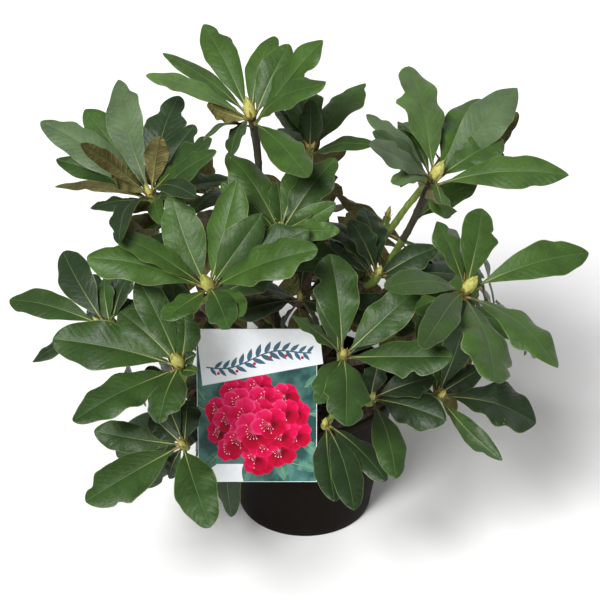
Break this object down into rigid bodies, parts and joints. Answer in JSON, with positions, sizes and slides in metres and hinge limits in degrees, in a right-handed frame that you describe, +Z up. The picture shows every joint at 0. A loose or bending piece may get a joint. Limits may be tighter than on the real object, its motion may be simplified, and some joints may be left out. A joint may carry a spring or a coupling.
{
  "type": "potted rhododendron",
  "caption": "Young rhododendron bush with whorls of leathery evergreen leaves on forked woody stems, standing in a round black nursery pot with a picture card on a tongue in the soil.",
  "frame": {"origin": "centre of the pot's flat underside, on the surface that the plant stands on", "axes": "+Z up; -Y is the front, where the card faces; +X is to the right as seen from the front"},
  "size_m": [0.5635, 0.5759, 0.5232],
  "materials": {
    "leaf": "semi-gloss leathery leaf",
    "bark": "rough dark brown bark",
    "pot_plastic": "satin black plastic",
    "soil": "moist peat compost",
    "card": "glossy printed card",
    "tongue_plastic": "satin off-white plastic"
  },
  "bodies": {
    "root": {"trunk": "bark", "bough_upper_left": "bark", "bough_left": "bark", "bough_front_left": "bark", "bough_front_right": "bark", "bough_right": "bark", "bough_upper_right": "bark", "bough_back_right": "bark", "bough_back_left": "bark", "bough_middle": "bark", "foliage_centre_right": "leaf", "foliage_low_left": "leaf", "foliage_left": "leaf", "foliage_low_centre": "leaf", "foliage_centre_left": "leaf", "foliage_low_right": "leaf", "foliage_pot_front": "leaf", "foliage_right": "leaf", "foliage_behind_card": "leaf", "foliage_upper_centre": "leaf", "foliage_far_left": "leaf", "foliage_inner_right": "leaf", "foliage_upper_left": "leaf", "foliage_inner": "leaf", "foliage_upper_right": "leaf", "foliage_top": "leaf", "foliage_upper_right_back": "leaf", "foliage_top_right": "leaf", "foliage_right_side": "leaf", "foliage_left_side": "leaf", "foliage_back_middle": "leaf", "foliage_back_upper_left": "leaf", "foliage_back_upper_right": "leaf", "foliage_back_left": "leaf", "foliage_back_right": "leaf", "foliage_back_low_left": "leaf", "foliage_back_low_right": "leaf", "foliage_back_low": "leaf", "foliage_inner_back": "leaf", "pot": "pot_plastic", "soil": "soil", "label_card": "card", "label_tongue": "tongue_plastic"}
  },
  "joints": []
}
